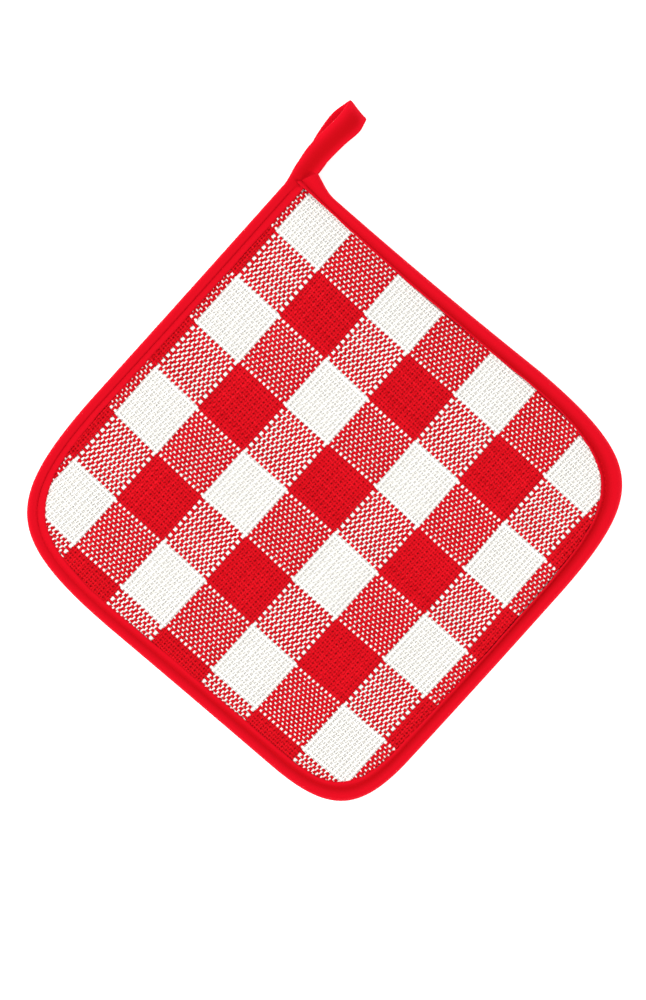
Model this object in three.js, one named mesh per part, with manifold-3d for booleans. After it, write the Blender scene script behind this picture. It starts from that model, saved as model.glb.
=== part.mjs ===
// A square pot holder that lies on its back, face up, with its hanging loop at the top corner.
// Millimetres: X to the right, Y towards the loop, Z up from the table.
// The origin is the middle of the pad, on its back.
import * as THREE from "three";
import Module from "manifold-3d";

// The bound edge, anticlockwise seen from above. x and y are where two straight sides would meet,
// reach is how far along both sides the rounding starts, fullness pulls the curve towards the corner,
// and bow is how far the side after it swells past straight.
const CORNERS = [
  { name: "loop", x: -10.2, y: 140.8, reach: 3.0, fullness: 0.7, bow: -0.1 },
  { name: "left", x: -144.6, y: -9.0, reach: 71.4, fullness: 1.7, bow: -0.1 },
  { name: "bottom", x: 9.9, y: -140.4, reach: 40.8, fullness: 1.35, bow: 0.2 },
  { name: "right", x: 145.7, y: 9.1, reach: 70.8, fullness: 1.75, bow: -0.9 },
];
const CORNER_STEPS = 14;
const SIDE_STEPS = 7;
const SMALLEST_REACH = 0.5;

// Clearance that is kept between two sewn pieces.
const SEWN_GAP = 0.3;

// The pad: its rim is pressed thin inside the binding, and its face swells from a shoulder
// to the crown in the middle. Its back lies flat on the table.
const RIM = { inset: 1.4, low: 1.2, high: 4.4, chamfer: 0.5 };
const SHOULDER = { inset: 11.0, z: 5.7 };
const CROWN_Z = 8.4;
const CROWN_REACH = 60;
const CROWN_STEPS = 10;
const SMALLEST_CROWN_RING = 0.1;

// The binding: a strip folded over the rim, with a sewn groove near its inner edge.
const LIP_INSET = 7.0;
const CREST_INSET = 2.6;
const EDGE_Z = 3.05;
const UPPER_FOLD = [
  { part: "inner edge", inset: LIP_INSET, z: 5.45 },
  { part: "lip", inset: 6.3, z: 5.7 },
  { part: "sewn groove", inset: 5.1, z: 5.3 },
  { part: "rise of the roll", inset: 3.9, z: 5.85 },
  { part: "crest of the roll", inset: CREST_INSET, z: 6.1 },
  { part: "shoulder of the roll", inset: 1.2, z: 5.6 },
  { part: "upper side", inset: 0.3, z: 4.5 },
  { part: "outer edge", inset: 0.0, z: EDGE_Z },
];
const LOWER_FOLD = [
  { part: "lower side", inset: 0.3, z: 1.6 },
  { part: "lower roll", inset: 1.2, z: 0.5 },
  { part: "start of the flat", inset: CREST_INSET, z: 0.0 },
  { part: "inner edge", inset: LIP_INSET, z: 0.0 },
];

// The hanging loop: a tape that leaves the corner over the table, turns back at the bight and
// returns flat on the table. along runs out from the corner, drift to its left, seen from above,
// and lead is how far the tape's left edge runs ahead of its middle.
const LOOP_ROOT = { x: -8.8, y: 135.8, bearing: 50 };
const TAPE = { width: 10.6, thickness: 1.4, edge: 0.5 };
const LOOP_PATH = [
  { stretch: "upper root", along: -2.5, drift: -0.2, height: 4.6, lead: 0.0 },
  { stretch: "upper", along: 4.0, drift: 0.7, height: 5.7, lead: 0.0 },
  { stretch: "upper", along: 12.0, drift: 1.4, height: 8.0, lead: 0.0 },
  { stretch: "upper", along: 22.0, drift: 0.5, height: 9.1, lead: 0.0 },
  { stretch: "upper", along: 31.0, drift: -0.1, height: 8.6, lead: 0.4 },
  { stretch: "bight", along: 35.8, drift: 0.5, height: 6.9, lead: 0.9 },
  { stretch: "bight", along: 37.4, drift: 1.1, height: 4.6, lead: 1.0 },
  { stretch: "bight", along: 35.6, drift: 1.9, height: 2.1, lead: 0.9 },
  { stretch: "lower", along: 30.0, drift: 2.9, height: 0.9, lead: 0.4 },
  { stretch: "lower", along: 20.0, drift: 2.4, height: 0.7, lead: 0.0 },
  { stretch: "lower", along: 10.0, drift: 1.0, height: 0.7, lead: 0.0 },
  { stretch: "lower root", along: -2.5, drift: 0.0, height: 0.7, lead: 0.0 },
];
const LOOP_STEPS = 44;

const CHECK_CLOTH = { color: 0xe07a7c, roughness: 0.9, metalness: 0 };
const RED_TAPE = { color: 0xdc0e1f, roughness: 0.85, metalness: 0 };

// Unit vector from one corner towards another.
function towards(from, to) {
  return new THREE.Vector2(to.x - from.x, to.y - from.y).normalize();
}

// Outward normal of a side that is walked anticlockwise.
function outward(direction) {
  return new THREE.Vector2(direction.y, -direction.x);
}

// One rounded corner, drawn in from the edge by inset: a weighted arc between its two sides.
function cornerArc(index, inset, leastReach) {
  const count = CORNERS.length;
  const corner = CORNERS[index];
  const back = towards(corner, CORNERS[(index + count - 1) % count]);
  const onward = towards(corner, CORNERS[(index + 1) % count]);
  const bisector = back.clone().add(onward).normalize();
  const half = Math.acos(bisector.dot(onward));
  const tip = new THREE.Vector2(corner.x, corner.y).addScaledVector(bisector, inset / Math.sin(half));
  const reach = Math.max(corner.reach - inset / Math.tan(half), leastReach);
  const start = tip.clone().addScaledVector(back, reach);
  const end = tip.clone().addScaledVector(onward, reach);
  return Array.from({ length: CORNER_STEPS + 1 }, (_, k) => {
    const share = k / CORNER_STEPS;
    const pulls = [(1 - share) ** 2, 2 * corner.fullness * share * (1 - share), share ** 2];
    const place = new THREE.Vector2();
    [start, tip, end].forEach((point, n) => place.addScaledVector(point, pulls[n]));
    return place.divideScalar(pulls[0] + pulls[1] + pulls[2]);
  });
}

// The bowed side between two corner arcs, without its ends.
function bowedSide(start, end, bow) {
  const out = outward(end.clone().sub(start).normalize());
  return Array.from({ length: SIDE_STEPS - 1 }, (_, k) => {
    const share = (k + 1) / SIDE_STEPS;
    const swell = 4 * bow * share * (1 - share);
    return start.clone().lerp(end, share).addScaledVector(out, swell);
  });
}

// The whole outline, drawn in by inset. Every inset gives the same number of points in the same order.
function outline(inset, leastReach) {
  const arcs = CORNERS.map((_, index) => cornerArc(index, inset, leastReach));
  return arcs.flatMap((arc, index) => {
    const next = arcs[(index + 1) % arcs.length];
    return [...arc, ...bowedSide(arc.at(-1), next[0], CORNERS[index].bow)];
  });
}

// A level ring of the outline at height z, drawn in by inset, then shrunk towards the middle.
// The more it shrinks, the rounder its corners.
function levelRing(inset, z, shrink = 1) {
  const leastReach = Math.max(SMALLEST_REACH, CROWN_REACH * (1 - shrink));
  return outline(inset, leastReach).map((p) => new THREE.Vector3(p.x * shrink, p.y * shrink, z));
}

// Volume inside a closed triangle mesh, negative where its faces point in.
function signedVolume(points, triangles) {
  const cross = new THREE.Vector3();
  return triangles.reduce((sum, [a, b, c]) => {
    return sum + points[a].dot(cross.crossVectors(points[b], points[c])) / 6;
  }, 0);
}

function geometryFrom(points, triangles) {
  const inside = signedVolume(points, triangles) < 0;
  const faces = triangles.map(([a, b, c]) => (inside ? [a, c, b] : [a, b, c]));
  const geometry = new THREE.BufferGeometry();
  geometry.setAttribute("position", new THREE.Float32BufferAttribute(points.flatMap((p) => p.toArray()), 3));
  geometry.setIndex(faces.flat());
  geometry.computeVertexNormals();
  return geometry;
}

// Skins rings with equal numbers of points into a closed solid: a tube that meets its own start,
// or one whose two ends are closed by fans round the middle of the end rings.
function skin(rings, meetsItself) {
  const size = rings[0].length;
  const points = rings.flat();
  const triangles = [];
  const joins = meetsItself ? rings.length : rings.length - 1;
  for (let ring = 0; ring < joins; ring += 1) {
    const here = ring * size;
    const there = ((ring + 1) % rings.length) * size;
    for (let k = 0; k < size; k += 1) {
      const next = (k + 1) % size;
      triangles.push([here + k, here + next, there + next], [here + k, there + next, there + k]);
    }
  }
  if (!meetsItself) {
    for (const [ring, reversed] of [[0, false], [rings.length - 1, true]]) {
      const middle = points.length;
      const sum = rings[ring].reduce((total, point) => total.add(point), new THREE.Vector3());
      points.push(sum.divideScalar(size));
      for (let k = 0; k < size; k += 1) {
        const a = ring * size + k;
        const b = ring * size + ((k + 1) % size);
        triangles.push(reversed ? [middle, a, b] : [middle, b, a]);
      }
    }
  }
  return geometryFrom(points, triangles);
}

// The filled pad, from the flat of its back, round its rim, up over the shoulder to the crown.
function padGeometry() {
  const clearOfLip = LIP_INSET + SEWN_GAP + 0.1;
  const flatStart = clearOfLip + 2 * RIM.low;
  const rings = [
    levelRing(flatStart, 0),
    levelRing(clearOfLip, RIM.low),
    levelRing(RIM.inset + RIM.chamfer, RIM.low),
    levelRing(RIM.inset, RIM.low + RIM.chamfer),
    levelRing(RIM.inset, RIM.high - RIM.chamfer),
    levelRing(RIM.inset + RIM.chamfer, RIM.high),
    levelRing(clearOfLip, RIM.high),
    levelRing((clearOfLip + SHOULDER.inset) / 2, (RIM.high + SHOULDER.z) / 2 + SEWN_GAP / 2),
  ];
  for (let k = 0; k < CROWN_STEPS; k += 1) {
    const lift = Math.sin((Math.PI / 2) * (k / (CROWN_STEPS - 1)));
    const shrink = Math.max(Math.sqrt(1 - lift * lift), SMALLEST_CROWN_RING);
    rings.push(levelRing(SHOULDER.inset, SHOULDER.z + (CROWN_Z - SHOULDER.z) * lift, shrink));
  }
  return skin(rings, false);
}

// The channel in the binding that the pad's rim lies in, a sewn gap away from it all round.
function channel() {
  const chamfer = RIM.chamfer + SEWN_GAP * Math.tan(Math.PI / 8);
  const wall = RIM.inset - SEWN_GAP;
  const floor = RIM.low - SEWN_GAP;
  const roof = RIM.high + SEWN_GAP;
  return [
    { part: "lower lip", inset: LIP_INSET, z: floor },
    { part: "lower corner", inset: wall + chamfer, z: floor },
    { part: "wall", inset: wall, z: floor + chamfer },
    { part: "wall", inset: wall, z: roof - chamfer },
    { part: "upper corner", inset: wall + chamfer, z: roof },
    { part: "upper lip", inset: LIP_INSET, z: roof },
  ];
}

// Carries a section of inset and z rows round the whole outline.
function carriedRound(section) {
  const levels = section.map((row) => levelRing(row.inset, row.z));
  const stations = levels[0].map((_, k) => levels.map((level) => level[k]));
  return skin(stations, true);
}

function bindingGeometry() {
  return carriedRound([...UPPER_FOLD, ...LOWER_FOLD, ...channel()]);
}

// The binding's outer form, swollen by the sewn gap, with a plain inner side: what the loop stops at.
function bindingEnvelope() {
  const swell = (row) => {
    const out = Math.max(0, 1 - row.inset / CREST_INSET);
    return { inset: row.inset - SEWN_GAP * out, z: row.z + SEWN_GAP * Math.sign(row.z - EDGE_Z) };
  };
  return carriedRound([...UPPER_FOLD, ...LOWER_FOLD].map(swell));
}

// Section of the tape across its run: width along y, thickness along z, edges eased.
function tapeSection() {
  const side = TAPE.width / 2;
  const half = TAPE.thickness / 2;
  const eased = side - TAPE.edge;
  const quarter = half / 2;
  return [
    [side, quarter], [eased, half], [-eased, half], [-side, quarter],
    [-side, -quarter], [-eased, -half], [eased, -half], [side, -quarter],
  ];
}

// The tape swept along the loop's path. It stands on its edge nowhere: its width stays level.
function tapeGeometry() {
  const middle = new THREE.CatmullRomCurve3(
    LOOP_PATH.map((row) => new THREE.Vector3(row.along, row.drift, row.height)), false, "centripetal");
  const leads = new THREE.CatmullRomCurve3(
    LOOP_PATH.map((row, k) => new THREE.Vector3(k, row.lead, 0)), false, "centripetal");
  const section = tapeSection();
  const rings = Array.from({ length: LOOP_STEPS + 1 }, (_, k) => {
    const share = k / LOOP_STEPS;
    const point = middle.getPoint(share);
    point.z = Math.max(point.z, TAPE.thickness / 2);
    const tangent = middle.getTangent(share);
    const normal = new THREE.Vector3(-tangent.z, 0, tangent.x).normalize();
    const lead = leads.getPoint(share).y / (TAPE.width / 2);
    return section.map(([across, up]) => {
      const place = point.clone().addScaledVector(normal, up);
      place.x += lead * across;
      place.y += across;
      return place;
    });
  });
  const geometry = skin(rings, false);
  geometry.rotateZ(THREE.MathUtils.degToRad(LOOP_ROOT.bearing));
  geometry.translate(LOOP_ROOT.x, LOOP_ROOT.y, 0);
  return geometry;
}

const wasm = await Module();
wasm.setup();

function solidFrom(geometry) {
  const vertProperties = new Float32Array(geometry.getAttribute("position").array);
  const triVerts = new Uint32Array(geometry.getIndex().array);
  return new wasm.Manifold(new wasm.Mesh({ numProp: 3, vertProperties, triVerts }));
}

// The loop: the tape, cut off a sewn gap short of the binding it is sewn to.
function loopGeometry() {
  const cut = solidFrom(tapeGeometry()).subtract(solidFrom(bindingEnvelope()));
  const mesh = cut.getMesh();
  const geometry = new THREE.BufferGeometry();
  geometry.setAttribute("position", new THREE.BufferAttribute(mesh.vertProperties, 3));
  geometry.setIndex(new THREE.BufferAttribute(mesh.triVerts, 1));
  geometry.computeVertexNormals();
  return geometry;
}

function piece(name, geometry, finish) {
  const mesh = new THREE.Mesh(geometry, new THREE.MeshStandardMaterial(finish));
  mesh.name = name;
  return mesh;
}

const potHolder = new THREE.Group();
potHolder.name = "pot_holder";
potHolder.add(piece("pad", padGeometry(), CHECK_CLOTH));
potHolder.add(piece("binding", bindingGeometry(), RED_TAPE));
potHolder.add(piece("hanging_loop", loopGeometry(), RED_TAPE));

export default potHolder;
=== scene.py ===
"""A checked cotton pot holder with a red bound edge and a hanging loop, lying face up."""

import bpy
import numpy as np
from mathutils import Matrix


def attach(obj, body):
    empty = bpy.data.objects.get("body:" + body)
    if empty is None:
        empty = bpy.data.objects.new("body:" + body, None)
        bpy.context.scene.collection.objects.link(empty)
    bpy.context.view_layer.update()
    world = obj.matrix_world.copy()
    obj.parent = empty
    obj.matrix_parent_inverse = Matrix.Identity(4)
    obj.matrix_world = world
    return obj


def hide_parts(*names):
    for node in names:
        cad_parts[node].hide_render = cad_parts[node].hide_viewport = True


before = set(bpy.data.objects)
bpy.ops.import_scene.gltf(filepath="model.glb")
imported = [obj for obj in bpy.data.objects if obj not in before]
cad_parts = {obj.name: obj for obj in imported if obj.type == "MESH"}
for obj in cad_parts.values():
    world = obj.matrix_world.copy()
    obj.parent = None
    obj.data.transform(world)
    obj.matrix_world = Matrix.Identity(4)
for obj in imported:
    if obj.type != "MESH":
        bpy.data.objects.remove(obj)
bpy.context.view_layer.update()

MM = 0.001
RNG = np.random.default_rng(7)

# The bound edge in millimetres, anticlockwise seen from above: where two sides would meet, how far
# along them the rounding starts, its fullness, and how far the side after it swells. Drawn in, a
# rounding keeps the least reach.
CORNERS = np.array([[-10.2, 140.8], [-144.6, -9.0], [9.9, -140.4], [145.7, 9.1]])
REACH = (3.0, 71.4, 40.8, 70.8)
FULLNESS = (0.7, 1.7, 1.35, 1.75)
BOW = (-0.1, -0.1, 0.2, -0.9)
LEAST_REACH = 0.5
# Steps round a corner and along a side of an outline: to measure by, on the pad and on the strip.
MEASURE_STEPS = (40, 30)
PAD_STEPS = (50, 40)
STRIP_STEPS = (150, 90)

# The pad's face: height by distance from the bound edge, then a crown that swells to the middle.
RIM_HEIGHT = ((0.0, 3.5), (4.5, 3.7), (5.8, 4.1), (7.0, 4.8), (8.2, 5.2), (11.0, 5.8))
SHOULDER_INSET = 11.0
CROWN_Z = 8.4
# The heights are those of the cloth's middle and are kept on a square grid.
CLOTH_HALF = 0.25
GRID_STEP = 2.0
GRID_REACH = 150.0

# The check: U is one repeat along the warp, V one along the weft, CHECK_AT is the point where the
# repeat counts are CHECK_COUNT.
U = np.array([34.39, 38.79])
V = np.array([38.23, -34.91])
CHECK_AT = np.array([-0.36, 1.68])
CHECK_COUNT = (1.15899, 0.73864)
# Where a repeat's first warp and first weft lie, the share of it before the colour changes, and how
# many of each it holds.
WARP_START = 0.003
WEFT_START = 0.009
WARP_WHITE = 0.4905
WEFT_RED = 0.4835
WARPS = 42.0
WEFTS = 32.0
# How sewing pulls the check out of true, in millimetres at 100 millimetres from the middle: wefts and
# warps bow, the yarns fan out and are skewed, the sides are drawn in, and the middle has shifted.
WEFT_BOW = 1.1
WARP_BOW = -0.75
FAN = 0.8
SKEW = -0.4
DRAWN_IN = -1.5
SHIFT = (-0.35, 0.6)
# One repeat along a yarn, in millimetres.
REPEAT = 52.0

# Binding: visible width, where its sewn groove lies and how much deeper than usual it is, by share of
# the way round from the loop, clockwise.
BAND_AT = (0.0, 0.04, 0.12, 0.2, 0.25, 0.3, 0.38, 0.5, 0.62, 0.7, 0.75, 0.8, 0.9, 1.0)
BAND_WIDTH = (5.2, 6.2, 6.8, 7.2, 8.0, 7.2, 6.5, 7.6, 7.5, 7.1, 6.9, 6.8, 7.2, 7.5)
BAND_GROOVE = (4.0, 4.9, 5.5, 6.0, 6.7, 6.0, 5.2, 5.1, 4.6, 4.2, 3.8, 4.1, 4.4, 4.2)
BAND_DEPTH = (-0.7, -0.2, 0.05, 0.25, 0.5, 0.4, 0.25, 0.1, -0.05, -0.25, -0.7, -0.85, -0.95, -0.9)

# Section of the folded binding for a width of 7 and a groove at 5.1: inset from the edge and height.
FOLD = np.array([
    (7.0, 4.6), (7.0, 5.05), (6.85, 5.4), (6.45, 5.55), (5.95, 5.35), (5.45, 4.8), (5.1, 4.5),
    (4.7, 4.75), (4.2, 5.2), (3.6, 5.65), (2.9, 6.05), (2.2, 6.25), (1.5, 6.15), (0.9, 5.65),
    (0.4, 4.8), (0.1, 3.9), (0.0, 3.05), (0.1, 2.3), (0.4, 1.55), (0.9, 0.8), (1.5, 0.3),
    (2.4, 0.03), (4.2, 0.0), (6.0, 0.0), (6.9, 0.1), (7.0, 0.5), (6.8, 0.9), (4.4, 0.95),
    (2.0, 0.95), (1.3, 1.6), (1.1, 2.9), (1.3, 4.0), (2.2, 4.4), (4.6, 4.4),
])
FOLD_WIDTH = 7.0
FOLD_GROOVE = 5.1
# Above this height the fold's points are on its outer face.
FOLD_TOP = 4.65
# Tone of the tape at the same points, folded and flat: a painted highlight on its folded edges
# and painted shade in its dips.
FOLD_TONE = np.array([
    0.6, 0.65, 0.68, 0.64, 0.5, 0.2, 0.0, 0.1, 0.3, 0.45, 0.56, 0.62, 0.7, 0.85, 1.0, 1.0, 1.0,
    1.0, 0.95, 0.8, 0.65, 0.6, 0.55, 0.5, 0.6, 0.7, 0.5, 0.4, 0.4, 0.4, 0.4, 0.4, 0.4, 0.4,
])
FLAT_TONE = np.array([
    0.9, 0.9, 0.9, 0.8, 0.65, 0.48, 0.28, 0.08, 0.0, 0.0, 0.06, 0.2, 0.45, 0.75, 0.9, 1.0, 1.0,
    1.0, 0.9, 0.75, 0.5, 0.3, 0.2, 0.4, 0.8, 1.0, 0.5, 0.3, 0.3, 0.3, 0.3, 0.3, 0.3, 0.3,
])
# Below this tone the fold's painted shade gets darker where its groove is deeper.
PLAIN_TONE = 0.66
# The same points where the strip is folded flat as a tape: share of the width and offset.
FLAT = np.array([
    (1.0, 0.08), (1.0, 0.35), (0.985, 0.58), (0.95, 0.7), (0.9, 0.68), (0.85, 0.6), (0.79, 0.55),
    (0.72, 0.53), (0.63, 0.54), (0.54, 0.55), (0.44, 0.56), (0.34, 0.6), (0.24, 0.7), (0.15, 0.78),
    (0.07, 0.7), (0.02, 0.42), (0.0, 0.0), (0.02, -0.42), (0.07, -0.7), (0.15, -0.78), (0.24, -0.7),
    (0.36, -0.58), (0.6, -0.54), (0.82, -0.5), (0.96, -0.68), (1.0, -0.4), (0.99, -0.08), (0.75, -0.03),
    (0.4, -0.03), (0.25, -0.02), (0.2, 0.0), (0.25, 0.02), (0.4, 0.03), (0.75, 0.03),
])

# The loop: along its bearing from the root, drift to its left, height of the tape's middle, how far
# the left edge leads, and the tape's width.
LOOP_ROOT = np.array([-8.8, 135.8])
LOOP_BEARING = np.radians(50.0)
LOOP_PATH = np.array([
    (4.0, 1.3, 5.0, 0.0, 9.5), (12.0, 1.4, 7.2, 0.0, 10.5), (22.0, 0.5, 8.8, 0.0, 10.6),
    (31.0, -0.5, 8.4, 0.3, 11.2), (35.8, 0.2, 6.8, 0.9, 11.0), (37.4, 0.7, 4.6, 1.0, 10.8),
    (35.6, 1.6, 2.2, 0.9, 10.6), (30.0, 3.1, 1.1, 0.4, 10.6), (20.0, 2.7, 0.85, 0.0, 10.4),
    (10.0, 1.3, 0.85, 0.0, 9.8), (-1.0, 0.8, 0.85, 0.0, 9.0),
])
# The binding's folded end, which lies over the loop's foot: its outer and inner corner and its lift.
END_OUTER = np.array([-2.0, 138.2])
END_INNER = np.array([-11.0, 134.3])
END_LIFT = 1.4
# Way along the edge from the top corner to where the folded end and the loop take over, the length of
# a stitch, and how many points of the edge its measures are evened over.
END_FROM = 17.0
LOOP_FROM = 7.0
STITCH = 2.9
EVENED_OVER = 31
# Where the loop's turn gets a painted highlight, along its bearing, and over what length.
TURN_HIGHLIGHT_AT = 37.0
TURN_HIGHLIGHT_REACH = 2.2


def unit(vector):
    """The vector at length one."""
    return vector / np.linalg.norm(vector)


def outline(inset, corner_steps, side_steps):
    """The bound edge drawn in by inset: four weighted arcs joined by bowed sides."""
    arcs = []
    for k in range(4):
        back = unit(CORNERS[k - 1] - CORNERS[k])
        onward = unit(CORNERS[(k + 1) % 4] - CORNERS[k])
        bisector = unit(back + onward)
        half = np.arccos(bisector @ onward)
        tip = CORNERS[k] + bisector * inset / np.sin(half)
        reach = max(REACH[k] - inset / np.tan(half), LEAST_REACH)
        t = np.linspace(0, 1, corner_steps + 1)[:, None]
        pulls = ((1 - t) ** 2, 2 * FULLNESS[k] * t * (1 - t), t ** 2)
        ends = (tip + back * reach, tip, tip + onward * reach)
        arcs.append(sum(w * p for w, p in zip(pulls, ends)) / sum(pulls))
    places = []
    t = np.linspace(0, 1, side_steps + 1)[1:-1, None]
    for k in range(4):
        start, end = arcs[k][-1], arcs[(k + 1) % 4][0]
        run = unit(end - start)
        out = np.array([run[1], -run[0]])
        places += [arcs[k], start + (end - start) * t + out * 4 * BOW[k] * t * (1 - t)]
    return np.concatenate(places)


def sweep(t, start, end, go, come):
    """A cubic from start to end for t from 0 to 1, which leaves along go and arrives along come."""
    return ((2 * t ** 3 - 3 * t ** 2 + 1) * start + (t ** 3 - 2 * t ** 2 + t) * go
            + (3 * t ** 2 - 2 * t ** 3) * end + (t ** 3 - t ** 2) * come)


def curve_through(points, count):
    """Cubic pieces through points: the slope at each comes from its neighbours, spaced by chord."""
    t = np.concatenate([[0], np.cumsum(np.linalg.norm(np.diff(points, axis=0), axis=1) ** 0.5)])
    slope = np.gradient(points, t, axis=0)
    at = np.linspace(0, t[-1], count)
    k = np.clip(np.searchsorted(t, at, side="right") - 1, 0, len(t) - 2)
    h = (t[k + 1] - t[k])[:, None]
    x = (at - t[k])[:, None] / h
    return sweep(x, points[k], points[k + 1], h * slope[k], h * slope[k + 1])


def piece(name, points, quads, triangles, material, quad_spread, triangle_spread):
    """A smooth mesh object from points in millimetres, rows of corner numbers and their flat places."""
    mesh = bpy.data.meshes.new(name)
    corners = np.concatenate([quads.ravel(), triangles.ravel()]).astype(np.int32)
    starts = np.concatenate([np.arange(len(quads)) * 4, quads.size + np.arange(len(triangles)) * 3])
    mesh.vertices.add(len(points))
    mesh.vertices.foreach_set("co", (points * MM).astype(np.float32).ravel())
    mesh.loops.add(len(corners))
    mesh.loops.foreach_set("vertex_index", corners)
    mesh.polygons.add(len(starts))
    mesh.polygons.foreach_set("loop_start", starts.astype(np.int32))
    mesh.polygons.foreach_set("use_smooth", np.ones(len(starts), bool))
    mesh.update(calc_edges=True)
    mesh.materials.append(material)
    spread = np.concatenate([quad_spread.reshape(-1, 2), triangle_spread.reshape(-1, 2)])
    mesh.uv_layers.new(name="OFBake").uv.foreach_set("vector", spread.astype(np.float32).ravel())
    made = bpy.data.objects.new(name, mesh)
    bpy.context.scene.collection.objects.link(made)
    return made


def ring_body(rings):
    """Points, side faces and end fans of a closed body through rings of points."""
    rows, size = rings.shape[:2]
    k = np.arange(size)
    nxt = (k + 1) % size
    start = np.arange(rows - 1)[:, None] * size
    quads = np.stack([start + k, start + nxt, start + size + nxt, start + size + k], axis=-1)
    points = np.concatenate([rings.reshape(-1, 3), rings[[0, -1]].mean(axis=1)])
    last = (rows - 1) * size
    first_fan = np.stack([np.full(size, rows * size), nxt, k], axis=1)
    last_fan = np.stack([np.full(size, rows * size + 1), last + k, last + nxt], axis=1)
    return points, quads.reshape(-1, 4), np.concatenate([first_fan, last_fan])


def band(edge):
    """Width of the binding and place of its groove at the points of a closed outline."""
    way = np.cumsum(np.linalg.norm(np.roll(edge, -1, axis=0) - edge, axis=1))
    share = 1 - way / way[-1]
    return np.interp(share, BAND_AT, BAND_WIDTH), np.interp(share, BAND_AT, BAND_GROOVE)


def cloth_height():
    """Heights of the pad's face on a square grid.

    Near the edge the height follows the distance to the bound edge, less what the binding is wider
    there than its usual width. From the shoulder on it is the quarter of an ellipse from the shoulder
    to the crown, by the share of the way to the middle.
    """
    axis = np.arange(-GRID_REACH, GRID_REACH + GRID_STEP, GRID_STEP)
    x, y = np.meshgrid(axis, axis, indexing="ij")
    edge = outline(0.0, *MEASURE_STEPS)
    far = np.hypot(x[..., None] - edge[:, 0], y[..., None] - edge[:, 1])
    gap = far.min(axis=-1) + FOLD_WIDTH - band(edge)[0][far.argmin(axis=-1)]
    shoulder = outline(SHOULDER_INSET, *MEASURE_STEPS)
    angle = np.arctan2(shoulder[:, 1], shoulder[:, 0])
    order = np.argsort(angle)
    reach = np.interp(np.arctan2(y, x), angle[order], np.hypot(*shoulder[order].T), period=2 * np.pi)
    share = np.hypot(x, y) / reach
    inset, rise = np.array(RIM_HEIGHT).T
    rim = np.interp(gap, inset, rise)
    swell = (CROWN_Z - rise[-1]) * np.sqrt(np.clip(1 - share ** 2, 0, 1))
    height = np.where(share < 1, np.maximum(rim, rise[-1]) + swell, np.minimum(rim, rise[-1]))
    for _ in range(3):
        for k in (0, 1):
            height = (np.roll(height, 1, k) + 2 * height + np.roll(height, -1, k)) / 4
    return height - CLOTH_HALF


HEIGHT = cloth_height()


def height_at(place):
    """The face's height at places in millimetres, read between the four nearest grid points."""
    at = (place + GRID_REACH) / GRID_STEP
    low = np.clip(at.astype(int), 0, len(HEIGHT) - 2)
    s, t = np.moveaxis(at - low, -1, 0)
    i, j = np.moveaxis(low, -1, 0)
    return ((1 - s) * (1 - t) * HEIGHT[i, j] + s * (1 - t) * HEIGHT[i + 1, j]
            + (1 - s) * t * HEIGHT[i, j + 1] + s * t * HEIGHT[i + 1, j + 1])


def pulled(place):
    """Places moved a little along the cloth, as sewing pulls it.

    For s along the warp and t along the weft, in units of 100 millimetres, the weft's bow grows with t
    squared, the warp's bow with s squared plus t squared, the fan with s times t times s less t, the
    skew with s times t, and the drawing in with t cubed. Slow waves are added to that.
    """
    cloth = np.stack([unit(U), unit(V)], axis=1)
    s, t = np.moveaxis(place @ np.linalg.inv(cloth).T / 100, -1, 0)
    along_warp = SHIFT[0] + WEFT_BOW * t ** 2 + FAN * s * t * (s - t) + SKEW * s * t
    along_weft = SHIFT[1] + WARP_BOW * (s ** 2 + t ** 2) + DRAWN_IN * t ** 3 + SKEW * s * t
    x, y = np.moveaxis(place, -1, 0)
    dx = 0.22 * np.sin(x / 17 + y / 29 + 0.4) + 0.16 * np.sin(y / 11 - x / 37 + 2.1)
    dy = 0.22 * np.sin(y / 19 - x / 31 + 1.7) + 0.16 * np.sin(x / 12 + y / 41 + 0.9)
    return place + np.stack([along_warp, along_weft], axis=-1) @ cloth.T + np.stack([dx, dy], axis=-1)


def lattice(count_u, count_v):
    """Places on the face by repeat counts along the warp and along the weft."""
    return (CHECK_AT + (count_u - CHECK_COUNT[0])[..., None] * U
            + (count_v - CHECK_COUNT[1])[..., None] * V)


def counts(place):
    """Repeat counts along the warp and along the weft of places on the face."""
    return np.linalg.solve(np.stack([U, V], axis=1), (place - CHECK_AT).T).T + CHECK_COUNT


# Materials.

def node(tree, kind, inputs=(), **settings):
    """A shader node with its settings, and inputs given by name or number as a socket or a value."""
    made = tree.nodes.new(kind)
    for name, value in settings.items():
        setattr(made, name, value)
    for name, value in dict(inputs).items():
        if isinstance(value, bpy.types.NodeSocket):
            tree.links.new(value, made.inputs[name])
        else:
            made.inputs[name].default_value = value
    return made


def maths(tree, operation, *values):
    """The result of a maths node."""
    return node(tree, "ShaderNodeMath", enumerate(values), operation=operation).outputs[0]


def fabric(name, roughness, sheen, sheen_tint):
    """A matt cloth material, its tree and its shader."""
    made = bpy.data.materials.new(name)
    made.use_nodes = True
    shader = made.node_tree.nodes["Principled BSDF"]
    shader.inputs["Roughness"].default_value = roughness
    shader.inputs["Specular IOR Level"].default_value = 0.03
    shader.inputs["Sheen Weight"].default_value = sheen
    shader.inputs["Sheen Roughness"].default_value = 0.5
    shader.inputs["Sheen Tint"].default_value = sheen_tint
    return made, made.node_tree, shader


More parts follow.
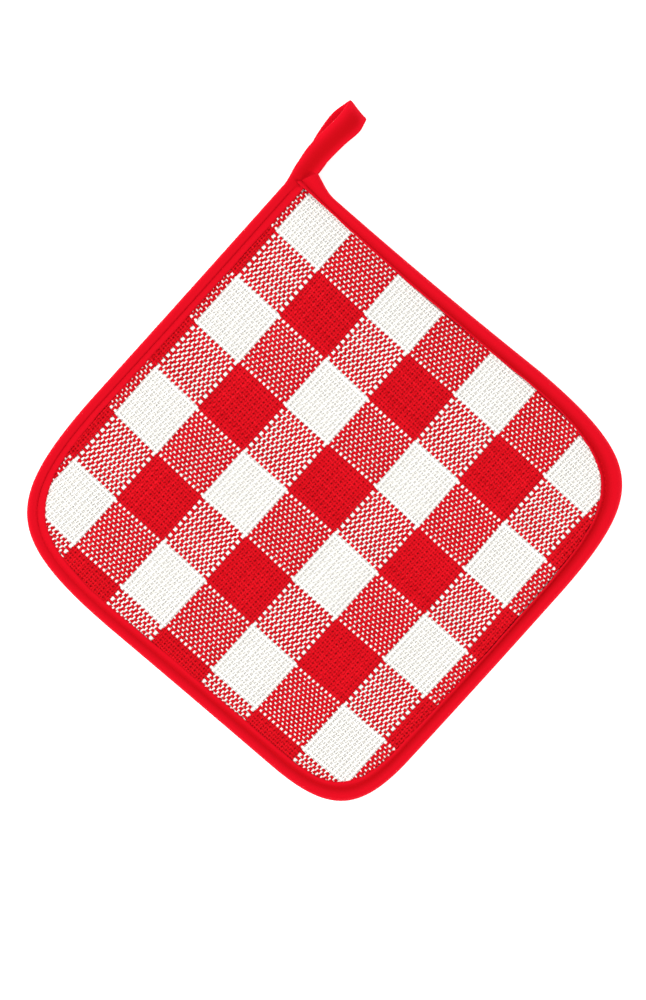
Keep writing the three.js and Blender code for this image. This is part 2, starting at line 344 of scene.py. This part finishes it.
def yarn_material(name, dark, light, sheen_tint):
    """Spun cotton: the shade runs between two colours by the yarn's own tone, with fine fibre bumps."""
    made, tree, shader = fabric(name, 0.95, 0.06, sheen_tint)
    tone = node(tree, "ShaderNodeAttribute", attribute_name="tone").outputs["Fac"]
    shade = node(tree, "ShaderNodeMix", {0: tone, 6: dark, 7: light}, data_type="RGBA")
    tree.links.new(shade.outputs[2], shader.inputs["Base Color"])
    where = node(tree, "ShaderNodeTexCoord").outputs["Object"]
    fibre = node(tree, "ShaderNodeTexNoise", {"Vector": where, "Scale": 2500.0, "Detail": 1.0})
    raised = node(tree, "ShaderNodeBump", {"Height": fibre.outputs["Fac"], "Strength": 0.25,
                                           "Distance": 0.0002})
    tree.links.new(raised.outputs["Normal"], shader.inputs["Normal"])
    return made


RED_YARN = yarn_material("red_yarn", (0.49, 0.002, 0.006, 1), (0.69, 0.006, 0.015, 1), (1, 0.1, 0.12, 1))
WHITE_YARN = yarn_material("white_yarn", (0.82, 0.805, 0.76, 1), (0.92, 0.91, 0.88, 1), (1, 1, 1, 1))


def tape_material():
    """Red cotton tape with a fine cloth grain, its tone a painted highlight on folded edges and painted
    shade in dips.
    """
    made, tree, shader = fabric("red_tape", 0.8, 0.4, (1.0, 0.06, 0.1, 1))
    tone = node(tree, "ShaderNodeAttribute", attribute_name="tone").outputs["Fac"]
    shade = node(tree, "ShaderNodeMix", {0: tone, 6: (0.44, 0.001, 0.0045, 1), 7: (0.67, 0.003, 0.014, 1)},
                 data_type="RGBA")
    tree.links.new(shade.outputs[2], shader.inputs["Base Color"])
    where = node(tree, "ShaderNodeTexCoord").outputs["Object"]
    grain = node(tree, "ShaderNodeTexNoise", {"Vector": where, "Scale": 1300.0, "Detail": 2.0})
    raised = node(tree, "ShaderNodeBump", {"Height": grain.outputs["Fac"], "Strength": 0.3,
                                           "Distance": 0.0003})
    tree.links.new(raised.outputs["Normal"], shader.inputs["Normal"])
    return made


RED_TAPE = tape_material()


def back_material():
    """The same check drawn flat for the pad's back and for what shows between the yarns."""
    made, tree, shader = fabric("check_cloth", 0.9, 0.1, (1, 1, 1, 1))
    where = node(tree, "ShaderNodeTexCoord").outputs["Object"]
    inverse = np.linalg.inv(np.stack([U, V], axis=1)) / MM
    start = np.array(CHECK_COUNT) - np.linalg.inv(np.stack([U, V], axis=1)) @ CHECK_AT
    count = []
    # Eight whole repeats more keep every count above zero.
    for row, offset in zip(inverse, start):
        along = node(tree, "ShaderNodeVectorMath", {0: where, 1: (*row, 0.0)}, operation="DOT_PRODUCT")
        count.append(maths(tree, "ADD", along.outputs["Value"], offset + 8.0))
    weft_at, warp_at = (maths(tree, "FRACT", maths(tree, "SUBTRACT", way, first))
                        for way, first in zip(count, (WEFT_START, WARP_START)))
    weft_red = maths(tree, "LESS_THAN", weft_at, WEFT_RED)
    warp_red = maths(tree, "GREATER_THAN", warp_at, WARP_WHITE)
    pick = maths(tree, "FLOOR", maths(tree, "MULTIPLY", count[0], WEFTS))
    end = maths(tree, "FLOOR", maths(tree, "MULTIPLY", count[1], WARPS))
    over = maths(tree, "MODULO", maths(tree, "ADD", pick, end), 2.0)
    red = node(tree, "ShaderNodeMix", {0: over, 2: weft_red, 3: warp_red}, data_type="FLOAT").outputs[0]
    # Its white is greyer than the yarns' white: painted shade in the gaps between the yarns.
    shade = node(tree, "ShaderNodeMix", {0: red, 6: (0.7, 0.68, 0.64, 1), 7: (0.62, 0.006, 0.016, 1)},
                 data_type="RGBA")
    tree.links.new(shade.outputs[2], shader.inputs["Base Color"])
    ridges = [maths(tree, "ABSOLUTE", maths(tree, "SINE", maths(tree, "MULTIPLY", way, many * np.pi)))
              for way, many in zip(count, (WEFTS, WARPS))]
    ridge = node(tree, "ShaderNodeMix", {0: over, 2: ridges[0], 3: ridges[1]}, data_type="FLOAT").outputs[0]
    raised = node(tree, "ShaderNodeBump", {"Height": ridge, "Strength": 0.6, "Distance": 0.0004})
    tree.links.new(raised.outputs["Normal"], shader.inputs["Normal"])
    return made


CHECK_CLOTH = back_material()


# The woven face. How uneven the yarns are: their places in millimetres, their height at a crossing,
# then their width and their shade, each from yarn to yarn and along one. Then their usual shade.
PLACE_UNEVEN = 0.05
CRIMP_UNEVEN = 0.12
WIDTH_UNEVEN = (0.05, 0.04)
SHADE_UNEVEN = (0.16, 0.1)
SHADE = 0.55
# How far a yarn's ridge stands above its sides, and how high it lies.
RED_ROUND = (0.34, 0.05)
WHITE_ROUND = (0.28, -0.05)
# Where the yarns end between the binding's groove and its lip, and how far they sink there and over
# what length. Then, as parts of a repeat, the least length of a yarn and of the point it ends in.
TUCK_SHARE = 0.7
TIP_DROP = 0.4
TIP_REACH = 0.9
SHORTEST_YARN = 0.1
TIP_GAP = 0.004


def yarn_rows(groups, start, repeat):
    """Centres, widths and colours of the yarns of one repeat, then of every repeat on the pad.

    A group is (how many, pitch, width, spread, red). Spread moves the two yarns of a pair apart or
    together, and the pitch adds up from the start of the group.
    """
    centre, width, red = [], [], []
    at = 0.0
    for number, pitch, wide, spread, is_red in groups:
        k = np.arange(number)
        centre.append(at + pitch * (k + 0.5) + spread * (1 - 2 * (k % 2)))
        width.append(np.full(number, wide))
        red.append(np.full(number, is_red))
        at += pitch * number
    centre, width, red = (np.concatenate(x) for x in (centre, width, red))
    many = np.arange(-3, 4)
    every = (start + many[:, None] + centre / repeat).ravel()
    every = every + PLACE_UNEVEN / repeat * RNG.standard_normal(len(every))
    return every, np.tile(width, len(many)), np.tile(red, len(many))


WARP = yarn_rows([(1, 2.2, 1.95, 0.0, False), (18, 1.1667, 0.97, 0.19, False), (1, 2.2, 1.95, 0.0, False),
                  (22, 1.199, 1.26, 0.1, True)], WARP_START, np.linalg.norm(V))
WEFT = yarn_rows([(16, 1.566, 1.46, 0.0, True), (1, 2.1, 1.8, 0.0, False), (14, 1.613, 0.86, 0.0, False),
                  (1, 2.1, 1.8, 0.0, False)], WEFT_START, np.linalg.norm(U))


def tucked():
    """Repeat counts of the line that the yarns end on, under the binding's lip."""
    edge, lip = outline(0.0, *MEASURE_STEPS), outline(FOLD_WIDTH, *MEASURE_STEPS)
    width, groove = band(edge)
    inset = groove + TUCK_SHARE * (width - groove)
    line = edge + (lip - edge) * (inset / FOLD_WIDTH)[:, None]
    return counts(2 * line - pulled(line))


TUCKED = tucked()


def yarn_spans(centre, axis):
    """Repeat counts where yarns at these centres come out from under the binding and go under it."""
    ahead = np.roll(TUCKED, -1, axis=0)
    border, other = TUCKED[:, axis], TUCKED[:, 1 - axis]
    share = (centre[:, None] - border) / (ahead[:, axis] - border + 1e-12)
    met = other + share * (ahead[:, 1 - axis] - other)
    hit = (share >= 0) & (share < 1)
    return np.where(hit, met, np.inf).min(axis=1), np.where(hit, met, -np.inf).max(axis=1)


def uneven(amounts, shape):
    """Random shares for the rings of yarns: an amount from yarn to yarn and one along each."""
    return amounts[0] * RNG.standard_normal((shape[0], 1)) + amounts[1] * RNG.standard_normal(shape)


def yarns(name, lengthwise, red, crimp, lean):
    """One colour of yarn in one direction, as tubes with three sides, that run over and under.

    A tube has three rings from one crossing to the next. Its height is the face's height plus crimp
    times a wave that is 1 over one crossing yarn and -1 under the next. It swings lean sideways
    after each crossing, so what lies on top slants as its twist does. It is widest there, and both
    its ends run to a point under the binding.
    """
    axis = 1 if lengthwise else 0
    own, cross = (WARP, WEFT) if lengthwise else (WEFT, WARP)
    side = unit(V) if lengthwise else unit(U)
    rise, lift = RED_ROUND if red else WHITE_ROUND
    centre, width, is_red = own
    number = np.arange(len(centre))
    low, high = yarn_spans(centre, axis)
    wanted = (is_red == red) & (high - low > SHORTEST_YARN)
    centre, width, number, low, high = (a[wanted] for a in (centre, width, number, low, high))

    crossing = cross[0]
    sign = 1.0 - 2.0 * ((number[:, None] + np.arange(len(crossing)) + (0 if lengthwise else 1)) % 2)
    sign = sign * (1 + CRIMP_UNEVEN * RNG.standard_normal(sign.shape))
    wave = np.stack([sign[:, :-1], 0.75 * sign[:, :-1] + 0.25 * sign[:, 1:],
                     0.25 * sign[:, :-1] + 0.75 * sign[:, 1:]], axis=-1).reshape(len(centre), -1)
    swing = (sign[:, :-1, None] * (0.0, 0.87, 0.87)).reshape(len(centre), -1)
    step = np.diff(crossing)[:, None] / 3
    ring = (crossing[:-1, None] + step * np.arange(3)).ravel()
    inside = (ring > low[:, None] + TIP_GAP) & (ring < high[:, None] - TIP_GAP)

    def placed(along):
        own_count = np.broadcast_to(centre[:, None], along.shape)
        pair = (along, own_count) if lengthwise else (own_count, along)
        return pulled(lattice(*pair))

    flat = placed(np.broadcast_to(ring, inside.shape)) + lean * swing[..., None] * side
    slub = 1 + uneven(WIDTH_UNEVEN, inside.shape)
    half = width[:, None] / 2 * slub * (0.92 + 0.08 * wave)
    spare = np.minimum(ring - low[:, None], high[:, None] - ring) * REPEAT
    z = height_at(flat) + lift + crimp * wave - TIP_DROP * np.clip(1 - spare / TIP_REACH, 0, 1)
    middle = np.concatenate([flat, z[..., None]], axis=-1)
    reach = np.concatenate([side * half[..., None], np.zeros_like(z)[..., None]], axis=-1)
    top = middle + np.array([0, 0, rise]) * slub[..., None]
    rings = np.stack([middle - reach, top, middle + reach], axis=2)[inside].reshape(-1, 3)

    first = np.where(inside, np.cumsum(inside.ravel()).reshape(inside.shape) - 1, 0) * 3
    joined = inside[:, :-1] & inside[:, 1:]
    here, there = first[:, :-1][joined], first[:, 1:][joined]
    quads = np.stack([np.stack([here + a, here + b, there + b, there + a], axis=1)
                      for a, b in ((0, 1), (1, 2), (2, 0))], axis=1).reshape(-1, 4)
    tips = placed(np.stack([low, high], axis=1))
    tips = np.concatenate([tips, height_at(tips)[..., None] - TIP_DROP], axis=-1).reshape(-1, 3)
    tip = len(rings) + 2 * np.arange(len(centre))
    head = first[np.arange(len(centre)), inside.argmax(axis=1)]
    tail = first[np.arange(len(centre)), inside.shape[1] - 1 - inside[:, ::-1].argmax(axis=1)]
    ends = [np.stack([tip, head + b, head + a], axis=1) for a, b in ((0, 1), (1, 2), (2, 0))]
    ends += [np.stack([tip + 1, tail + a, tail + b], axis=1) for a, b in ((0, 1), (1, 2), (2, 0))]
    triangles = np.concatenate(ends)
    points = np.concatenate([rings, tips])
    a, b, c = (points[quads[:3000:3, k]] for k in (0, 1, 3))
    if np.cross(b - a, c - a)[:, 2].mean() < 0:
        quads, triangles = quads[:, ::-1], triangles[:, ::-1]
    strand = np.arange(len(centre))[:, None] + np.zeros(inside.shape)
    across = (strand[inside][:, None] + (0.05, 0.5, 0.95)).ravel() / len(centre)
    share = np.broadcast_to((ring - low.min()) / (high.max() - low.min()), inside.shape)[inside]
    tip_share = ((np.stack([low, high], axis=1) - low.min()) / (high.max() - low.min())).ravel()
    tip_across = np.repeat(np.arange(len(centre)) + 0.5, 2) / len(centre)
    spread = np.column_stack([np.concatenate([across, tip_across]),
                              np.concatenate([np.repeat(share, 3), tip_share])])
    material = RED_YARN if red else WHITE_YARN
    made = piece(name, points, quads, triangles, material, spread[quads], spread[triangles])
    tone = SHADE + uneven(SHADE_UNEVEN, inside.shape)
    tone = np.concatenate([np.repeat(tone[inside], 3), np.full(len(tips), 0.5)]).clip(0, 1)
    made.data.attributes.new("tone", "FLOAT", "POINT").data.foreach_set("value", tone.astype(np.float32))
    return made


woven = [
    yarns("warp_red", lengthwise=True, red=True, crimp=0.26, lean=0.05),
    yarns("warp_white", lengthwise=True, red=False, crimp=0.26, lean=0.13),
    yarns("weft_red", lengthwise=False, red=True, crimp=0.15, lean=-0.08),
    yarns("weft_white", lengthwise=False, red=False, crimp=0.12, lean=-0.06),
]


# The pad's rings: insets on its face, insets and heights round its rim, and shares of its back. Then
# how far its face lies below the yarns.
FACE_INSETS = (11.0, 9.8, 8.6, 7.4, 6.0, 4.0, 2.4)
RIM_RINGS = ((1.7, 3.6), (1.7, 1.9), (2.4, 1.3), (7.2, 1.2), (8.4, 0.5), (9.8, 0.05))
BACK_SHARES = (0.99, 0.9, 0.6, 0.3, 0.02)
BELOW_YARNS = 0.2


def pad_body():
    """The filled pad below the yarns: rings from the middle of its face, round its rim, to its back."""
    rim = outline(SHOULDER_INSET, *PAD_STEPS)
    shares = np.sin(np.linspace(0.02, 1, 26) * np.pi / 2)[:-1]
    face = [rim * s for s in shares] + [outline(n, *PAD_STEPS) for n in FACE_INSETS]
    rings = [np.column_stack([p, height_at(p) - BELOW_YARNS]) for p in face]
    rings += [np.column_stack([outline(n, *PAD_STEPS), np.full(len(rim), z)]) for n, z in RIM_RINGS]
    flat = outline(RIM_RINGS[-1][0], *PAD_STEPS)
    rings += [np.column_stack([flat * s, np.zeros(len(rim))]) for s in BACK_SHARES]
    points, quads, triangles = ring_body(np.stack(rings))
    quads, triangles = quads[:, [0, 3, 2, 1]], triangles[:, [0, 2, 1]]
    size, over, under = len(rim), len(face), len(RIM_RINGS) + len(BACK_SHARES)
    k = np.arange(size)
    radius = np.concatenate([np.linspace(0.02, 1, over), np.linspace(1, 0.02, under)])
    side = np.concatenate([np.zeros(over), np.ones(under)])
    turn = np.stack([np.cos(k / size * 2 * np.pi), np.sin(k / size * 2 * np.pi)], axis=1)
    centre = np.stack([0.25 + 0.5 * side, 0.5 + 0 * side], axis=1)
    place = radius[:, None, None] * turn * (0.24, 0.48) + centre[:, None]
    place = np.concatenate([place.reshape(-1, 2), [(0.25, 0.5), (0.75, 0.5)]])
    return piece("pad_body", points, quads, triangles, CHECK_CLOTH, place[quads], place[triangles])


pad = pad_body()


# The binding and the loop, one strip.

def strip():
    """Places of the strip's section points, from its folded end, round the pad, to the loop's end.

    A station has an outer and an inner rail point and a share of how far the fold has become a flat
    tape. A point lies between the rails by its share of the width, at the fold's height or at the
    tape's offset from the rails along the tape's normal.
    """
    edge, lip = (outline(n, *STRIP_STEPS) for n in (0.0, FOLD_WIDTH))
    edge, lip = (np.concatenate([a[STRIP_STEPS[0]:], a[:1]])[::-1] for a in (edge, lip))
    way = np.concatenate([[0], np.cumsum(np.linalg.norm(np.diff(edge, axis=0), axis=1))])
    share = way / way[-1]
    smooth = np.ones(EVENED_OVER) / EVENED_OVER
    width, groove, depth = (
        np.convolve(np.pad(np.interp(share, BAND_AT, row), EVENED_OVER // 2, mode="edge"), smooth, "valid")
        for row in (BAND_WIDTH, BAND_GROOVE, BAND_DEPTH))
    # Stitches dimple the groove, and the strip was fed in a little unevenly.
    stitch = np.sin(way * 2 * np.pi / STITCH)
    ease = (0.5 * np.sin(way / 3.1) + 0.6 * np.sin(way / 5.3 + 1.0) + 0.5 * np.sin(way / 9.7 + 2.0)
            + 0.4 * np.sin(way / 1.9 + 0.5))
    width = width + 0.06 * stitch + 0.1 * ease
    kept = (way > END_FROM) & (way < way[-1] - LOOP_FROM)
    edge, lip, width, groove, depth, stitch, ease = (
        a[kept] for a in (edge, lip, width, groove, depth, stitch, ease))
    inner = edge + (lip - edge) * (width / FOLD_WIDTH)[:, None]

    t = np.linspace(0, 1, 41)[:-1, None]
    along_edge = unit(edge[0] - edge[6])
    reach = np.linalg.norm(END_OUTER - edge[0])
    bent = unit(END_OUTER - edge[0] + np.array([0.3, 0.5]))
    end_edge = sweep(t, END_OUTER, edge[0], -reach * bent, -reach * along_edge)
    end_inner = END_INNER + (inner[0] - END_INNER) * t
    near = t[:, 0]

    path = curve_through(LOOP_PATH, 130)
    out = np.array([np.cos(LOOP_BEARING), np.sin(LOOP_BEARING)])
    left = np.array([-out[1], out[0]])
    middle = LOOP_ROOT + path[:, :1] * out + path[:, 1:2] * left
    lean = path[:, 3:4] * out + path[:, 4:] / 2 * left
    loop_edge = middle + lean
    loop_inner = middle - lean
    run = np.gradient(path[:, [0, 2]], axis=0)
    run /= np.linalg.norm(run, axis=1)[:, None]
    normal = np.column_stack([-run[:, 1:] * out, run[:, 0]])

    u = np.linspace(0, 1, 42)[1:-1, None]

    def bridge(a, b):
        gap = np.linalg.norm(b[0] - a[-1])
        go, come = unit(a[-1] - a[-5]) * gap, unit(b[2] - b[0]) * gap
        return sweep(u, a[-1], b[0], go, come)

    ends, ring, joins, loops = len(t), len(edge), len(u), len(path)
    rail = np.concatenate([end_edge, edge, bridge(edge, loop_edge), loop_edge])
    inner = np.concatenate([end_inner, inner, bridge(inner, loop_inner), loop_inner])
    pick = u[:, 0]
    flat = np.concatenate([np.zeros(ends + ring), pick * pick * (3 - 2 * pick), np.ones(loops)])
    z = np.concatenate([np.full(ends + ring + joins, path[0, 2]), path[:, 2]])
    normal = np.concatenate([np.tile((0.0, 0.0, 1.0), (ends + ring + joins, 1)), normal])
    filled = [np.concatenate([np.full(ends, a[0]), a, np.full(joins + loops, a[-1])])
              for a in (width, groove, depth, stitch, ease)]
    width, groove, depth, stitch, ease = filled
    still = np.concatenate([near, np.ones(ring), 1 - pick, np.zeros(loops)])
    stitch, ease = stitch * still, ease * still
    lift = np.concatenate([END_LIFT * (1 - near) ** 2 * (1 + 2 * near), np.zeros(ring + joins + loops)])

    inset, rise = FOLD.T
    scaled = np.where(inset <= FOLD_GROOVE, inset * groove[:, None] / FOLD_GROOVE,
                      groove[:, None] + (inset - FOLD_GROOVE) * (width - groove)[:, None]
                      / (FOLD_WIDTH - FOLD_GROOVE))
    across = scaled / width[:, None]
    upper = np.clip((rise - 3.0) / 2.0, 0, 1)
    in_groove = np.exp(-((inset - FOLD_GROOVE) / 0.7) ** 2) * (rise > FOLD_TOP)
    on_crest = np.exp(-((inset - 2.5) / 1.3) ** 2) * (rise > FOLD_TOP)
    high = (rise + upper * lift[:, None] + in_groove * (0.08 * stitch - depth)[:, None]
            + on_crest * (0.1 * ease + 0.4 * depth)[:, None])
    folded = np.concatenate([rail[:, None] + across[..., None] * (inner - rail)[:, None], high[..., None]],
                            axis=-1)
    part, offset = FLAT.T
    level = rail[:, None] + part[:, None] * (inner - rail)[:, None]
    taped = np.concatenate([level, np.broadcast_to(z[:, None], level.shape[:2])[..., None]], axis=-1)
    taped = taped + offset[:, None] * normal[:, None]
    blend = flat[:, None, None]
    # The tape's tone: painted highlight on its folded edges, painted shade in its dips, deeper where the
    # groove is.
    deep = np.clip(1 + 1.2 * depth, 0.3, 1.6)[:, None]
    fold_tone = PLAIN_TONE + (FOLD_TONE - PLAIN_TONE) * np.where(FOLD_TONE < PLAIN_TONE, deep, 1.0)
    # A painted highlight on the loop's turn.
    turn_highlight = np.exp(-((path[:, 0] - TURN_HIGHLIGHT_AT) / TURN_HIGHLIGHT_REACH) ** 2)
    turn_highlight = np.concatenate([np.zeros(ends + ring + joins), turn_highlight])
    tone = (1 - flat[:, None]) * fold_tone + flat[:, None] * FLAT_TONE + 0.8 * turn_highlight[:, None]
    return (1 - blend) * folded + blend * taped, np.clip(tone, 0, 1), ends + ring + joins // 2


# Stations of a tube in one lane of its flat layout.
LANE = 200


def tube(name, rings, tone, material):
    """A closed tube through rings of points, with flat ends, and a tone at each point."""
    points, quads, triangles = ring_body(rings)
    size = rings.shape[1]
    k = np.arange(size)
    a, b, c = points[quads[:, 0]], points[quads[:, 1]], points[quads[:, 2]]
    flipped = np.einsum("ij,ij->i", a - points.mean(axis=0), np.cross(b - a, c - a)).sum() < 0
    if flipped:
        quads, triangles = quads[:, ::-1], triangles[:, ::-1]
    lanes = 1 + (len(rings) - 1) // LANE
    step = np.arange(len(rings) - 1)[:, None] + 0 * k
    lane, at = np.divmod(step, LANE)
    corners = ((0, 0), (0, 1), (1, 1), (1, 0))
    spread = [np.stack([(at + i) / LANE, (lane + 0.02 + 0.96 * (k + j) / size) / (lanes + 1)], axis=-1)
              for i, j in corners]
    spread = np.stack(spread, axis=-2).reshape(-1, 4, 2)
    cap = np.stack([np.stack([(k + i) / size, (lanes + j + 0 * k) / (lanes + 1)], axis=-1)
                    for i, j in ((0.5, 0.9), (1, 0.1), (0, 0.1))], axis=-2)
    if flipped:
        spread = spread[:, ::-1]
    made = piece(name, points, quads, triangles, material, spread, np.concatenate([cap, cap]))
    tone = np.concatenate([tone.ravel(), (0.4, 0.4)]).astype(np.float32)
    made.data.attributes.new("tone", "FLOAT", "POINT").data.foreach_set("value", tone)
    return made


stations, tones, parting = strip()
binding = tube("bound_edge", stations[:parting + 1], tones[:parting + 1], RED_TAPE)
loop = tube("loop_tape", stations[parting:], tones[parting:], RED_TAPE)

# How the pieces ride; the model's pad, binding and loop are hidden.
for made in [pad, *woven]:
    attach(made, "root")
for made in (binding, loop):
    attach(made, "root")
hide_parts("pad")
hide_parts("binding")
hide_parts("hanging_loop")

# Floor, light and camera.
scene = bpy.context.scene
floor_mesh = bpy.data.meshes.new("floor")
floor_corners = [(-3, -3, -0.0003), (3, -3, -0.0003), (3, 3, -0.0003), (-3, 3, -0.0003)]
floor_mesh.from_pydata(floor_corners, [], [(0, 1, 2, 3)])
floor_paint = bpy.data.materials.new("floor_paint")
floor_paint.use_nodes = True
paint = floor_paint.node_tree.nodes["Principled BSDF"].inputs
paint["Base Color"].default_value = (0.98, 0.98, 0.98, 1)
paint["Roughness"].default_value = 1.0
paint["Specular IOR Level"].default_value = 0.0
paint["Emission Color"].default_value = (1, 1, 1, 1)
paint["Emission Strength"].default_value = 0.45
floor_mesh.materials.append(floor_paint)
floor = bpy.data.objects.new("floor", floor_mesh)
scene.collection.objects.link(floor)


def soft_light(name, place, size, power):
    """A square studio light that points at the pad's middle."""
    lamp = bpy.data.lights.new(name, "AREA")
    lamp.shape = "SQUARE"
    lamp.size = size
    lamp.energy = power
    made = bpy.data.objects.new(name, lamp)
    made.location = place
    made.rotation_euler = (-made.location).to_track_quat("-Z", "Y").to_euler()
    scene.collection.objects.link(made)


for name, x, y, power in (("right_light", 0.7, -0.55, 8.5), ("left_light", -0.9, 0.1, 10.0),
                          ("far_light", 0.0, 0.95, 4.0)):
    soft_light(name, (x, y, 0.8), 0.6, power)
scene.world = scene.world or bpy.data.worlds.new("studio")
scene.world.use_nodes = True
studio = scene.world.node_tree.nodes["Background"]
studio.inputs["Color"].default_value = (1, 1, 1, 1)
studio.inputs["Strength"].default_value = 0.52

lens = bpy.data.cameras.new("camera")
lens.lens = 101.65
lens.sensor_width = 36.0
lens.clip_start, lens.clip_end = 0.05, 20.0
camera = bpy.data.objects.new("camera", lens)
camera.location = (0.06 * MM, -0.45 * MM, 1.203)
scene.collection.objects.link(camera)
scene.camera = camera
scene.view_settings.view_transform = "Standard"
scene.view_settings.look = "None"
